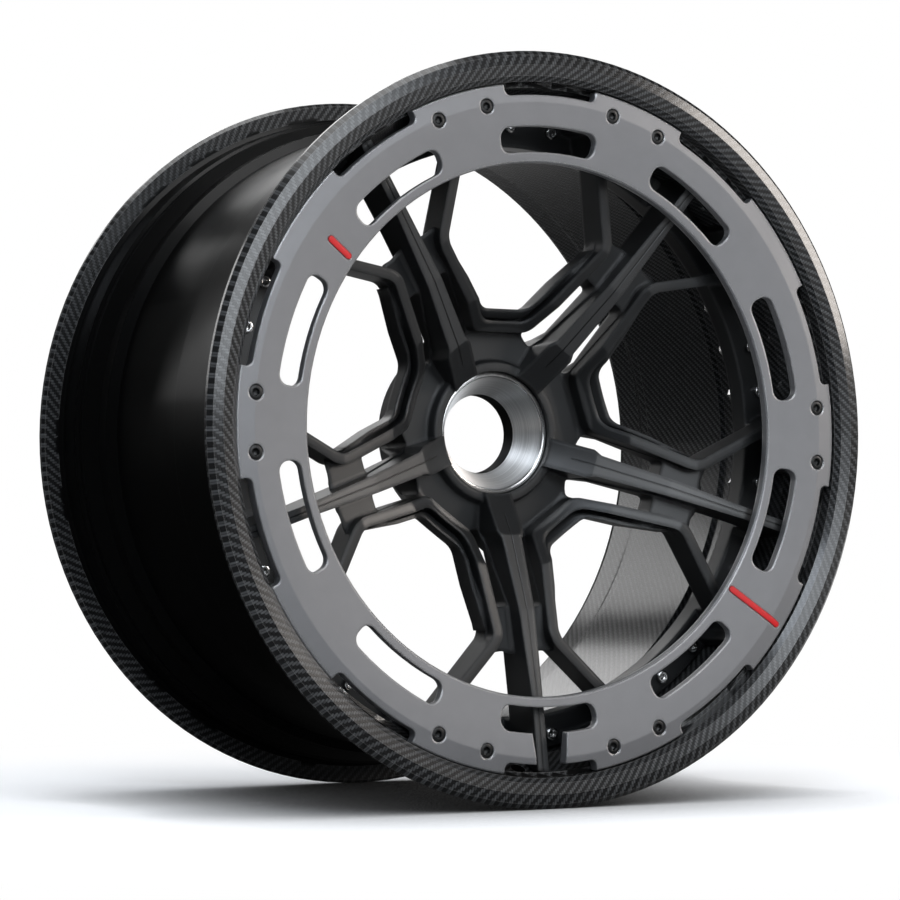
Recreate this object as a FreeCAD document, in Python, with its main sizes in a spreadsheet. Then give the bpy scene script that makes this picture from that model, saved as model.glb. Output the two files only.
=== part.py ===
import FreeCAD, Part
import math
import os
import Sketcher

# Wheel frame: Y is the spin axis, the face looks toward -Y, the origin lies midway between the lips.
# Sizes are in millimetres and degrees. "ahead" sizes are measured from the mid-plane toward the face.
# Radii that keep to the rim are given as a distance inside its lip.
LIP_RADIUS = 284.0
SIZES = {
    # rim barrel
    "lip_radius": LIP_RADIUS,
    "rim_half_width": 152.4,
    "lip_thick": 11.0,
    "lip_crown": LIP_RADIUS - 11.0,
    "lip_round": 5.4,
    "lip_bevel": 4.0,
    "lip_bevel_fall": 1.9,
    "lip_edge_run": 3.5,
    "lip_edge_fall": 1.6,
    "lip_heel": 2.5,
    "bead_radius": LIP_RADIUS - 17.3,
    "seat_round": 3.3,
    "seat_length": 18.0,
    "seat_fall": 1.6,
    "hump_rise": 1.2,
    "hump_run": 3.5,
    "ledge_radius": LIP_RADIUS - 20.0,
    "well_radius": LIP_RADIUS - 34.5,
    "well_front_ahead": 28.0,
    "well_rear_behind": 82.0,
    "well_slope": 16.0,
    "shoulder_ahead": 137.0,
    "throat_radius": LIP_RADIUS - 38.0,
    "throat_ahead": 113.0,
    "step_radius": LIP_RADIUS - 27.5,
    "step_run": 7.0,
    "step_length": 13.0,
    "barrel_wall": 6.5,
    "wall_shift": 4.0,
    "flange_inner": LIP_RADIUS - 55.0,
    "flange_thick": 10.0,
    "valve_hole": 11.3,
    "valve_radius": LIP_RADIUS - 28.5,
    "valve_ahead": 132.5,
    "valve_angle": 266.8,
    "valve_tilt": 50.0,
    # forged centre
    "hoop_ahead": 95.0,
    "hoop_thick": 17.0,
    "hoop_inner": LIP_RADIUS - 65.0,
    "hoop_outer": LIP_RADIUS - 39.5,
    "hoop_lip": 1.0,
    "pad_inner": LIP_RADIUS - 48.0,
    "pad_outer": LIP_RADIUS - 33.0,
    "pad_thick": 20.0,
    "pad_half_angle": 6.8,
    "rib_tip_gap": 1.0,
    "rib_start": 30.0,
    "rib_ease": 3.0,
    "rib_root_half": 11.5,
    "rib_half": 8.5,
    "rib_end_half": 4.6,
    "rib_root_ahead": 73.0,
    "rib_step_radius": 79.0,
    "rib_step_ahead": 98.5,
    "rib_mid_radius": 136.0,
    "rib_mid_ahead": 122.0,
    "rib_out_radius": LIP_RADIUS - 84.0,
    "rib_out_ahead": 137.0,
    "rib_ring_gap": 2.0,
    "arm_offset": 24.0,
    "arm_half": 4.0,
    "arm_bend_radius": 157.0,
    "arm_bend_angle": 45.0,
    "arm_splay": 4.7,
    "arm_inner_end": 81.5,
    "ridge_root_ahead": 84.0,
    "ridge_knee_radius": 105.0,
    "ridge_knee_ahead": 103.0,
    "ridge_bend_ahead": 122.0,
    "ridge_end_ahead": 132.0,
    "bead_width": 9.5,
    "bead_side": 5.5,
    "bead_drop": 8.0,
    "groove_width": 2.6,
    "bead_taper_radius": 118.0,
    "bead_tip_radius": 152.0,
    "window_corner": 13.0,
    "groove_corner": 16.0,
    "ridge_corner": 12.0,
    "slot_start": 74.0,
    "slot_end": 134.0,
    "slot_side": 1.0,
    "slot_round": 3.4,
    "slot_skew": 3.0,
    "web_end": 166.0,
    "web_run": 14.0,
    "web_round": 11.0,
    "gap_round": 6.0,
    "floor_ahead": 68.5,
    "floor_knee_radius": 78.0,
    "web_start_ahead": 106.0,
    "web_end_ahead": 113.0,
    "web_lip": 4.0,
    "spoke_back_radius": 150.0,
    "spoke_back_ahead": 93.0,
    "spoke_waist_radius": 92.0,
    "spoke_waist_ahead": 71.0,
    "spoke_rise": 8.0,
    "boss_radius": 56.0,
    "boss_ahead": 75.5,
    "boss_slope": 2.0,
    "pad_back_ahead": 22.0,
    "pad_back_radius": 75.0,
    "pad_flare": 11.0,
    "pad_step": 35.0,
    "register_radius": 42.0,
    "register_depth": 10.0,
    "pin_circle": 130.0,
    "pin_hole": 14.0,
    "pin_depth": 22.0,
    # turned hub insert
    "insert_radius": 47.5,
    "insert_body": 40.0,
    "insert_bore": 30.5,
    "insert_ahead": 71.5,
    "insert_seat_ahead": 61.0,
    "cone_foot_ahead": 46.0,
    "insert_back_ahead": 34.0,
    "insert_rim": 4.0,
    "insert_bevel": 0.7,
    "insert_edge": 1.2,
    # face ring
    "ring_inner": LIP_RADIUS - 83.0,
    "ring_outer": LIP_RADIUS - 24.0,
    "ring_crease": LIP_RADIUS - 49.7,
    "ring_back_ahead": 148.5,
    "ring_inner_ahead": 152.0,
    "ring_crease_ahead": 156.5,
    "ring_crown": LIP_RADIUS - 38.0,
    "ring_crown_ahead": 158.0,
    "ring_edge_ahead": 157.0,
    "ring_thick": 7.5,
    "ring_chamfer": 1.2,
    "slot_inner": LIP_RADIUS - 75.5,
    "slot_outer": LIP_RADIUS - 56.0,
    "slot_half_angle": 10.9,
    "slot_corner": 8.0,
    "notch_inner": LIP_RADIUS - 33.0,
    "notch_half_angle": 9.0,
    "notch_corner": 5.0,
    "channel_half": 16.0,
    "channel_end_half": 12.5,
    "channel_lap": 2.0,
    # red keys
    "key_half": 2.3,
    "key_floor_ahead": 150.0,
    "key_proud": 0.6,
    "short_key_start": LIP_RADIUS - 78.0,
    "short_key_end": LIP_RADIUS - 54.0,
    "long_key_start": LIP_RADIUS - 80.5,
    "long_key_end": LIP_RADIUS - 29.0,
    # fasteners
    "bolt_circle": LIP_RADIUS - 49.0,
    "bolt_radius": 3.5,
    "bolt_head_radius": 5.2,
    "bolt_head_height": 3.6,
    "nut_flat_half": 5.0,
    "nut_height": 9.0,
    "bolt_end": 2.0,
    "screw_circle": LIP_RADIUS - 38.5,
    "screw_radius": 3.0,
    "screw_head_radius": 5.5,
    "screw_head_height": 5.0,
    "screw_length": 18.0,
    "screw_half_angle": 5.0,
    "screw_recess": 1.0,
    # overlap of fused forms, run past a cut, and clearances
    "lap": 1.0,
    "cut_run": 5.0,
    "hole_gap": 0.3,
    "ring_gap": 1.0,
    "seat_gap": 0.2,
}

# Angles of the repeated features, in degrees anticlockwise from +X as seen from the face.
RIB_ANGLES = [54 + 72 * k for k in range(5)]
WINDOW_ANGLES = [18 + 72 * k for k in range(5)]
LAND_ANGLES = [36 * k for k in range(10)]
SLOT_ANGLES = [18 + 36 * k for k in range(10)]
SCREW_LANDS = [0, 72, 108, 180, 252, 288]
BOLT_OFFSETS = [-9, 0, 9, 27, 45]
CHANNEL_ANGLE = 270
SHORT_KEY_ANGLE = 144
LONG_KEY_ANGLE = 324
SPOKE_STEP = 36.0

doc = FreeCAD.newDocument("Wheel")
dims = doc.addObject("Spreadsheet::Sheet", "dims")
for row, (alias, value) in enumerate(SIZES.items(), start=1):
    dims.set(f"A{row}", alias)
    dims.set(f"B{row}", str(value))
    dims.setAlias(f"B{row}", alias)
doc.recompute()


def size(alias):
    """Number held by one named cell of the sheet."""
    return float(dims.get(alias))


def turned(u, v, angle):
    """Point u along and v across a spoke line, turned to its angle in the wheel's plane."""
    c, s = math.cos(math.radians(angle)), math.sin(math.radians(angle))
    return FreeCAD.Vector(u * c - v * s, u * s + v * c, 0)


def outline(points, radii=None):
    """Closed loop of lines through the points, with an arc at each corner that has a radius."""
    count = len(points)
    radii = radii or [0.0] * count
    cuts = []
    for i, corner in enumerate(points):
        if radii[i] <= 0:
            cuts.append((corner, None, corner))
            continue
        back = (points[i - 1] - corner).normalize()
        ahead = (points[(i + 1) % count] - corner).normalize()
        half = back.getAngle(ahead) / 2
        run = radii[i] / math.tan(half)
        middle = (back + ahead).normalize() * (radii[i] / math.sin(half) - radii[i])
        cuts.append((corner + back * run, corner + middle, corner + ahead * run))
    edges = []
    for i, (start, middle, end) in enumerate(cuts):
        if middle is not None:
            edges.append(Part.Arc(start, middle, end))
        following = cuts[(i + 1) % count][0]
        if end.distanceToPoint(following) > 1e-6:
            edges.append(Part.LineSegment(end, following))
    return edges


def arc_slot(inner, outer, half_angle, corner, angle):
    """Closed loop of a slot bent round the axis, with rounded corners."""
    def polar(radius, degrees):
        return turned(radius, 0, angle + degrees)

    out_shift = math.degrees(math.asin(corner / (outer - corner)))
    in_shift = math.degrees(math.asin(corner / (inner + corner)))
    out_run = math.sqrt((outer - corner) ** 2 - corner ** 2)
    in_run = math.sqrt((inner + corner) ** 2 - corner ** 2)

    def corner_arc(radius, shift, side, toward):
        centre = polar(radius, side * (half_angle - shift))
        first = polar(radius + toward * corner, side * (half_angle - shift))
        last = polar(out_run if toward > 0 else in_run, side * half_angle)
        middle = centre + ((first - centre) + (last - centre)).normalize() * corner
        return Part.Arc(first, middle, last)

    edges = []
    for radius, shift in ((outer, out_shift), (inner, in_shift)):
        reach = half_angle - shift
        edges.append(Part.Arc(polar(radius, -reach), polar(radius, 0), polar(radius, reach)))
    for side in (-1, 1):
        edges.append(corner_arc(outer - corner, out_shift, side, 1))
        edges.append(corner_arc(inner + corner, in_shift, side, -1))
        edges.append(Part.LineSegment(polar(out_run, side * half_angle), polar(in_run, side * half_angle)))
    return edges


def plan_sketch(name, loops):
    """Sketch in the wheel's plane that holds closed loops."""
    sketch = doc.addObject("Sketcher::SketchObject", name)
    sketch.Placement = FreeCAD.Placement(FreeCAD.Vector(), FreeCAD.Rotation(FreeCAD.Vector(1, 0, 0), 90))
    for loop in loops:
        sketch.addGeometry(loop, False)
    return sketch


def extruded(name, loops, start, end):
    """Loops extruded along the axis from one distance ahead of the mid-plane to another."""
    solid = doc.addObject("Part::Extrusion", name)
    solid.Base = plan_sketch(name + "_plan", loops)
    solid.DirMode = "Custom"
    solid.Dir = FreeCAD.Vector(0, -1, 0)
    solid.Solid = True
    solid.FaceMakerClass = "Part::FaceMakerBullseye"
    solid.setExpression("LengthFwd", end)
    solid.setExpression("LengthRev", f"-({start})")
    return solid


def section_sketch(name, points):
    """Half section of a turned piece as (radius, axial place) points, each bound to the sheet."""
    sketch = doc.addObject("Sketcher::SketchObject", name)
    bind_section(sketch, points)
    return sketch


def bind_section(sketch, points):
    """Draw a closed half section whose corners take their places from the sheet's cells."""
    count = len(points)
    for i in range(count):
        a = 2 * math.pi * i / count
        b = 2 * math.pi * (i + 1) / count
        start = FreeCAD.Vector(200 + 90 * math.cos(a), 90 * math.sin(a), 0)
        end = FreeCAD.Vector(200 + 90 * math.cos(b), 90 * math.sin(b), 0)
        sketch.addGeometry(Part.LineSegment(start, end), False)
    for i in range(count):
        sketch.addConstraint(Sketcher.Constraint("Coincident", i, 2, (i + 1) % count, 1))
    for i, (radius, axial) in enumerate(points):
        for kind, expression in (("DistanceX", radius), ("DistanceY", axial)):
            start = sketch.Geometry[i].StartPoint
            value = start.x if kind == "DistanceX" else start.y
            index = sketch.addConstraint(Sketcher.Constraint(kind, i, 1, value))
            sketch.setExpression(f"Constraints[{index}]", expression)


def revolved(name, points):
    """Half section turned once round the wheel's axis."""
    solid = doc.addObject("Part::Revolution", name)
    solid.Source = section_sketch(name + "_section", points)
    solid.Axis = FreeCAD.Vector(0, 1, 0)
    solid.Base = FreeCAD.Vector()
    solid.Angle = 360
    solid.Solid = True
    return solid


def turned_body(name, points):
    """Body turned from one half section on its own base plane."""
    body = doc.addObject("PartDesign::Body", name)
    sketch = body.newObject("Sketcher::SketchObject", name + "_section")
    plane = next(item for item in body.Origin.OriginFeatures if item.Role == "XY_Plane")
    sketch.AttachmentSupport = (plane, [""])
    sketch.MapMode = "FlatFace"
    bind_section(sketch, points)
    turn = body.newObject("PartDesign::Revolution", name + "_turn")
    turn.Profile = sketch
    turn.ReferenceAxis = (sketch, ["V_Axis"])
    turn.Angle = 360
    body.Tip = turn
    return body


def fused(name, shapes):
    """Several shapes as one."""
    solid = doc.addObject("Part::MultiFuse", name)
    solid.Shapes = shapes
    solid.Refine = True
    return solid


def cut(name, base, tool):
    """Base with the tool's volume taken away."""
    solid = doc.addObject("Part::Cut", name)
    solid.Base = base
    solid.Tool = tool
    return solid


def common(name, base, tool):
    """Volume that two shapes share."""
    solid = doc.addObject("Part::Common", name)
    solid.Base = base
    solid.Tool = tool
    return solid


def circles(radius, circle_radius, angles):
    """Round loops of one radius spread on a circle about the axis."""
    loops = []
    for angle in angles:
        loops.append([Part.Circle(turned(circle_radius, 0, angle), FreeCAD.Vector(0, 0, 1), radius)])
    return loops


def capsule(start, end, half, angle):
    """Radial slot loop with full round ends."""
    near_full = half * 0.999
    corners = [(start, -half), (end, -half), (end, half), (start, half)]
    return outline([turned(u, v, angle) for u, v in corners], [near_full] * 4)


# Rim barrel: both lips, bead seats with humps, the well, the inner flange and the ring's rabbet.
RABBET = "dims.ring_outer + dims.ring_gap"
WALL = "dims.ledge_radius - dims.barrel_wall"
THROAT_OUTSIDE = "dims.throat_radius + dims.barrel_wall"
FLANGE_FRONT = "-(dims.hoop_ahead - dims.hoop_thick)"
FLANGE_BACK = "-(dims.hoop_ahead - dims.hoop_thick - dims.flange_thick)"
RABBET_FLOOR = "-(dims.ring_back_ahead - dims.ring_gap)"
REAR_STEP = "dims.well_rear_behind + dims.step_run"
REAR_LEDGE = f"{REAR_STEP} + dims.step_length"


def lip_points(sign):
    """Lip and bead seat from the inside edge outward, on the face side ("-") or the rear side ("")."""
    def inward(run):
        return f"{sign}(dims.rim_half_width + dims.lip_thick - ({run}))"

    seat = "dims.lip_thick + dims.seat_round"
    seat_end = f"{seat} + dims.seat_length"
    return [
        (RABBET, inward("dims.lip_round")),
        (f"{RABBET} + dims.lip_bevel", inward("dims.lip_bevel_fall")),
        ("dims.lip_crown", inward("0")),
        ("dims.lip_radius - dims.lip_edge_run", inward("dims.lip_edge_fall")),
        ("dims.lip_radius", inward("dims.lip_round")),
        ("dims.lip_radius", inward("dims.lip_thick - dims.lip_heel")),
        ("dims.lip_radius - dims.lip_heel", inward("dims.lip_thick")),
        ("dims.bead_radius + dims.seat_round", inward("dims.lip_thick")),
        ("dims.bead_radius", inward(seat)),
        ("dims.bead_radius - dims.seat_fall", inward(seat_end)),
        ("dims.bead_radius - dims.seat_fall + dims.hump_rise", inward(f"{seat_end} + dims.hump_run")),
        ("dims.ledge_radius", inward(f"{seat_end} + 2 * dims.hump_run")),
    ]


barrel_points = lip_points("-")
barrel_points += [
    (THROAT_OUTSIDE, "-(dims.throat_ahead - 2 * dims.wall_shift)"),
    (THROAT_OUTSIDE, "-(dims.well_front_ahead + dims.wall_shift)"),
    ("dims.well_radius", "-dims.well_front_ahead"),
    ("dims.well_radius", "dims.well_rear_behind"),
    ("dims.step_radius", REAR_STEP),
    ("dims.step_radius", REAR_LEDGE),
    ("dims.ledge_radius", f"{REAR_LEDGE} + dims.well_slope"),
]
barrel_points += reversed(lip_points(""))
barrel_points += [
    (WALL, "dims.rim_half_width - dims.seat_round"),
    (WALL, f"{REAR_LEDGE} + dims.well_slope + dims.wall_shift"),
    ("dims.step_radius - dims.barrel_wall", f"{REAR_LEDGE} + dims.wall_shift"),
    ("dims.step_radius - dims.barrel_wall", f"{REAR_STEP} + dims.wall_shift"),
    ("dims.well_radius - dims.barrel_wall", "dims.well_rear_behind + dims.wall_shift"),
    ("dims.well_radius - dims.barrel_wall", "-(dims.well_front_ahead - dims.wall_shift)"),
    ("dims.throat_radius", "-dims.well_front_ahead"),
    ("dims.throat_radius", FLANGE_BACK),
    ("dims.flange_inner", FLANGE_BACK),
    ("dims.flange_inner", FLANGE_FRONT),
    ("dims.throat_radius", FLANGE_FRONT),
    ("dims.throat_radius", "-dims.throat_ahead"),
    (WALL, "-dims.shoulder_ahead"),
    (WALL, RABBET_FLOOR),
    (RABBET, RABBET_FLOOR),
]
BOLT_ANGLES = [window + offset for window in WINDOW_ANGLES for offset in BOLT_OFFSETS]
bolt_hole_loops = circles(size("bolt_radius") + size("hole_gap"), size("bolt_circle"), BOLT_ANGLES)
flange_holes = extruded("flange_holes", bolt_hole_loops, "0", "dims.hoop_ahead")
valve_hole = doc.addObject("Part::Cylinder", "valve_drill")
valve_hole.setExpression("Radius", "dims.valve_hole / 2")
valve_hole.setExpression("Height", "dims.valve_hole * 5")
turn, tilt = math.radians(size("valve_angle")), math.radians(size("valve_tilt"))
outward = FreeCAD.Vector(math.cos(turn), 0, math.sin(turn))
valve_axis = outward * math.cos(tilt) + FreeCAD.Vector(0, math.sin(tilt), 0)
valve_mouth = outward * size("valve_radius") - FreeCAD.Vector(0, size("valve_ahead"), 0)
valve_hole.Placement = FreeCAD.Placement(valve_mouth - valve_axis * size("valve_hole"),
                                         FreeCAD.Rotation(FreeCAD.Vector(0, 0, 1), valve_axis))
barrel_drills = fused("barrel_drills", [flange_holes, valve_hole])
barrel = cut("barrel", turned_body("barrel_turning", barrel_points), barrel_drills)

# Forged centre: every layer shares one back and has its own front, and is limited by its plan outline.
HOOP_BACK = "dims.hoop_ahead - dims.hoop_thick"
SPOKE_BACK = [
    ("dims.hoop_inner", "-(dims.hoop_ahead + dims.spoke_rise)"),
    ("dims.spoke_back_radius", "-dims.spoke_back_ahead"),
    ("dims.spoke_waist_radius", "-dims.spoke_waist_ahead"),
    ("dims.pad_back_radius + dims.pad_flare", "-(dims.pad_back_ahead + dims.pad_step)"),
    ("dims.pad_back_radius", "-dims.pad_back_ahead"),
    ("dims.insert_body", "-dims.pad_back_ahead"),
]
ON_HOOP = "-(dims.hoop_ahead - dims.lap)"
RIB_TIP = f"{WALL} - dims.rib_tip_gap"


def layer(name, front):
    """Turned envelope between a front line and the common back, standing on the hoop at its outer edge."""
    ends = [("dims.hoop_outer", ON_HOOP), ("dims.hoop_inner", ON_HOOP)]
    return revolved(name, front + ends + SPOKE_BACK)


rib_layer = layer("rib_layer", [
    ("dims.insert_body", "-dims.rib_root_ahead"),
    ("dims.rib_step_radius", "-dims.rib_step_ahead"),
    ("dims.rib_mid_radius", "-dims.rib_mid_ahead"),
    ("dims.rib_out_radius", "-dims.rib_out_ahead"),
    (RIB_TIP, "-(dims.ring_back_ahead - dims.rib_ring_gap)"),
    (RIB_TIP, "-(dims.shoulder_ahead + dims.rib_tip_gap)"),
    ("dims.hoop_outer", "-(dims.throat_ahead + dims.rib_tip_gap)"),
])
ridge_layer = layer("ridge_layer", [
    ("dims.insert_body", "-dims.floor_ahead"),
    ("dims.arm_inner_end", "-dims.ridge_root_ahead"),
    ("dims.ridge_knee_radius", "-dims.ridge_knee_ahead"),
    ("dims.arm_bend_radius", "-dims.ridge_bend_ahead"),
    ("dims.hoop_outer", "-dims.ridge_end_ahead"),
])
bead_layer = layer("bead_layer", [
    ("dims.insert_body", "-(dims.floor_ahead - dims.bead_drop)"),
    ("dims.arm_inner_end", "-(dims.ridge_root_ahead - dims.bead_drop)"),
    ("dims.ridge_knee_radius", "-(dims.ridge_knee_ahead - dims.bead_drop)"),
    ("dims.arm_bend_radius", "-(dims.ridge_bend_ahead - dims.bead_drop)"),
    ("dims.hoop_outer", "-(dims.ridge_end_ahead - dims.bead_drop)"),
])
floor_disc = revolved("floor_disc", [
    ("dims.insert_body", "-dims.floor_ahead"),
    ("dims.floor_knee_radius", "-dims.floor_ahead"),
    ("dims.slot_end", "-dims.web_start_ahead"),
    ("dims.web_end + dims.web_lip", "-dims.web_end_ahead"),
] + SPOKE_BACK[1:])
boss = revolved("boss", [
    ("dims.insert_body", "-dims.boss_ahead"),
    ("dims.boss_radius - dims.boss_slope", "-dims.boss_ahead"),
    ("dims.boss_radius + dims.boss_slope", "-(dims.floor_ahead - dims.lap)"),
    ("dims.boss_radius + dims.boss_slope", "-dims.pad_back_ahead"),
    ("dims.insert_body", "-dims.pad_back_ahead"),
])
hoop = revolved("hoop", [
    ("dims.hoop_inner", "-dims.hoop_ahead"),
    ("dims.hoop_outer", "-dims.hoop_ahead"),
    ("dims.hoop_outer", f"-({HOOP_BACK})"),
    ("dims.hoop_inner", f"-({HOOP_BACK})"),
])

ARM_HALF = size("arm_half")
BEND = math.radians(size("arm_bend_angle"))
SPLAY = math.radians(size("arm_splay"))
SLOPE = math.radians(SPOKE_STEP)


def rib_half(u):
    """Half width of a rib's top at a distance along it."""
    start, end = size("rib_step_radius"), size("rib_out_radius")
    share = min(max((u - start) / (end - start), 0.0), 1.0)
    return size("rib_half") + share * (size("rib_end_half") - size("rib_half"))


def arm_line(offset, run):
    """Point of an arm's outer leg, a run past its bend, in the frame of its rib."""
    reach = offset / (1 + math.cos(BEND + SPLAY))
    u = size("arm_bend_radius") + reach * (math.sin(SPLAY) - math.sin(BEND)) + run * math.cos(BEND)
    return u, size("arm_offset") + reach * (math.cos(SPLAY) + math.cos(BEND)) + run * math.sin(BEND)


def leg_point(offset, u):
    """Point of an arm's inner leg, which leaves the rib a little toward the hub, in the frame of its rib."""
    bend_u, bend_v = arm_line(offset, 0)
    return u, bend_v + (bend_u - u) * math.tan(SPLAY)


def arm_run(offset, radius):
    """Run past the bend at which an arm's outer leg reaches a radius."""
    u, v = arm_line(offset, 0)
    along = u * math.cos(BEND) + v * math.sin(BEND)
    return math.sqrt(along ** 2 - u ** 2 - v ** 2 + radius ** 2) - along


def beside_window(u, v):
    """Point in a rib's frame, given along and across the window beside it."""
    return u * math.cos(SLOPE) + v * math.sin(SLOPE), u * math.sin(SLOPE) - v * math.cos(SLOPE)


def leg_corner(offset, along):
    """Corner of an arm's inner leg and the hub side of its window, along and across that window."""
    far = beside_window(*leg_point(offset, size("arm_bend_radius")))
    near = beside_window(*leg_point(offset, 0))
    share = (along - near[0]) / (far[0] - near[0])
    return along, near[1] + share * (far[1] - near[1])


def arm_flank(offset, end_radius):
    """End, bend and inner corner of one side of an arm, along and across its window."""
    end = beside_window(*arm_line(offset, arm_run(offset, end_radius)))
    corner = leg_corner(offset, size("arm_inner_end") + offset)
    return [end, beside_window(*arm_line(offset, 0)), corner]


def window_loop(points, radii, angle):
    """Closed loop from one half of a window's outline and its mirror image."""
    whole = points + [(u, -v) for u, v in reversed(points)]
    return outline([turned(u, v, angle) for u, v in whole], radii + radii[::-1])


ARM_END = size("hoop_outer") - 2 * size("lap")
HOLE_EDGE = ARM_HALF + size("bead_width")
HOLE_SIDE = ARM_HALF + size("bead_side")
CORNER = size("window_corner")
outer_flank = arm_flank(-ARM_HALF, ARM_END)
inner_flank = arm_flank(ARM_HALF, ARM_END)
hole_corner = leg_corner(HOLE_SIDE, size("arm_inner_end") + HOLE_EDGE)
hole_side = beside_window(*leg_point(HOLE_SIDE, size("bead_taper_radius")))
bead_edge = ARM_HALF + size("groove_width")
bead_corner = arm_flank(bead_edge, ARM_END)[2]
bead_tip = beside_window(*leg_point(bead_edge, size("bead_tip_radius")))
ridge_corners = [0, CORNER + 2 * ARM_HALF, size("ridge_corner")]
inner_corners = [0, CORNER, size("groove_corner")]
ridge_loops, bead_loops, hole_loops = [], [], []
for angle in WINDOW_ANGLES:
    mirrored_outer = [(u, -v) for u, v in reversed(outer_flank)]
    mirrored_inner = [(u, -v) for u, v in inner_flank]
    ridge = outer_flank + mirrored_outer + mirrored_inner + list(reversed(inner_flank))
    corners = ridge_corners + ridge_corners[::-1] + inner_corners + inner_corners[::-1]
    ridge_loops.append(outline([turned(u, v, angle) for u, v in ridge], corners))
    bead_half = [bead_tip, bead_corner]
    bead = bead_half + [(u, -v) for u, v in reversed(bead_half)]
    bead += [(hole_side[0], -hole_side[1]), (hole_corner[0], -hole_corner[1]), hole_corner, hole_side]
    bead_corners = [0, inner_corners[2], inner_corners[2], 0, CORNER, CORNER, CORNER, CORNER]
    bead_loops.append(outline([turned(u, v, angle) for u, v in bead], bead_corners))
    hole_half = [arm_flank(ARM_HALF, size("pad_inner"))[0], inner_flank[1], hole_side, hole_corner]
    hole_loops.append(window_loop(hole_half, [0, CORNER, CORNER, CORNER], angle))

rib_loops, gap_loops = [], []
SIDE = size("slot_side")
SLOT_SKEW = size("slot_skew")
RIB_EASE = size("rib_ease")
gap_start = leg_point(-ARM_HALF - SIDE / 2, size("slot_start") + SLOT_SKEW)
gap_end = leg_point(-ARM_HALF - SIDE / 2, size("slot_end"))
step, tip = size("rib_step_radius"), size("lip_radius")
rib_side = [(size("rib_start"), size("rib_root_half")), (step - RIB_EASE, size("rib_root_half"))]
rib_side += [(step + RIB_EASE, rib_half(step)), (size("rib_out_radius"), size("rib_end_half"))]
rib_side += [(tip, size("rib_end_half"))]
slot_side = [(size("slot_start"), size("rib_root_half") + SIDE), (step + 2 * RIB_EASE, rib_half(step) + SIDE)]
slot_side += [(size("slot_end"), rib_half(size("slot_end")) + SIDE), gap_end, gap_start]
slot_rounds = [size("slot_round"), 0, size("slot_round"), size("slot_round"), size("slot_round")]
open_radius = size("hoop_inner") - size("hoop_lip")
open_side = [(size("web_end"), rib_half(size("web_end")) + SIDE), (open_radius, size("rib_end_half") + SIDE)]
open_side += [arm_line(-ARM_HALF - SIDE, arm_run(-ARM_HALF - SIDE, open_radius))]
open_side += [arm_line(-ARM_HALF - SIDE, size("web_run"))]
open_rounds = [size("web_round"), size("gap_round"), size("gap_round"), size("web_round")]
for angle in RIB_ANGLES:
    whole = rib_side + [(u, -v) for u, v in reversed(rib_side)]
    rib_loops.append(outline([turned(u, v, angle) for u, v in whole]))
    for hand in (-1, 1):
        gap_loops.append(outline([turned(u, hand * v, angle) for u, v in slot_side], slot_rounds))
        gap_loops.append(outline([turned(u, hand * v, angle) for u, v in open_side], open_rounds))

FULL = "dims.ring_back_ahead"
ribs = common("ribs", extruded("rib_plan", rib_loops, "0", FULL), rib_layer)
ridges = common("ridges", extruded("ridge_plan", ridge_loops, "0", FULL), ridge_layer)
beads = common("beads", extruded("bead_plan", bead_loops, "0", FULL), bead_layer)
windows = extruded("windows", hole_loops, "0", FULL)
gaps = extruded("gaps", gap_loops, "0", FULL)
openings = fused("openings", [windows, gaps])
webs = cut("webs", floor_disc, openings)


def sector(inner, outer, angle):
    """Closed loop of a block bent round the axis, as wide as a ring pad."""
    half = size("pad_half_angle")
    corners = [turned(radius, 0, angle + side * half) for radius, side in
               ((inner, -1), (inner, 1), (outer, 1), (outer, -1))]
    return [
        Part.Arc(corners[0], turned(inner, 0, angle), corners[1]),
        Part.LineSegment(corners[1], corners[2]),
        Part.Arc(corners[2], turned(outer, 0, angle), corners[3]),
        Part.LineSegment(corners[3], corners[0]),
    ]


pad_loops = [sector(size("pad_inner"), size("pad_outer"), angle) for angle in LAND_ANGLES]
leg_loops = [sector(size("pad_inner"), size("hoop_outer"), angle) for angle in LAND_ANGLES]
PAD_BACK = "dims.ring_back_ahead - dims.pad_thick"
pads = extruded("ring_pads", pad_loops, PAD_BACK, "dims.ring_back_ahead")
legs = extruded("pad_legs", leg_loops, "dims.hoop_ahead - dims.lap", f"{PAD_BACK} + dims.lap")
forging = fused("forging", [webs, hoop, boss, ribs, ridges, beads, pads, legs])

SCREW_ANGLES = [land + side * size("screw_half_angle") for land in SCREW_LANDS for side in (-1, 1)]
screw_hole_loops = circles(size("screw_radius") + size("hole_gap"), size("screw_circle"), SCREW_ANGLES)
HEAD_SEAT = "dims.ring_crown_ahead - dims.screw_recess - dims.screw_head_height"
SCREW_END = f"{HEAD_SEAT} - dims.screw_length"
tapped = extruded("tapped_holes", screw_hole_loops, f"{SCREW_END} - 2 * dims.lap", "dims.ring_crown_ahead")
insert_loop = circles(size("insert_radius") + size("seat_gap"), 0, [0])
insert_seat = extruded("insert_seat", insert_loop, "dims.insert_seat_ahead", FULL)
pin_loops = circles(size("pin_hole") / 2, size("pin_circle") / 2, RIB_ANGLES)
pin_holes = extruded("pin_holes", pin_loops, "0", "dims.pad_back_ahead + dims.pin_depth")
hoop_holes = extruded("hoop_holes", bolt_hole_loops, "0", "dims.ring_back_ahead")
register = extruded("register", circles(size("register_radius"), 0, [0]), "0",
                    "dims.pad_back_ahead + dims.register_depth")
centre_cuts = fused("centre_cuts", [tapped, insert_seat, register, pin_holes, hoop_holes])
spoke_centre = cut("spoke_centre", forging, centre_cuts)

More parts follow.
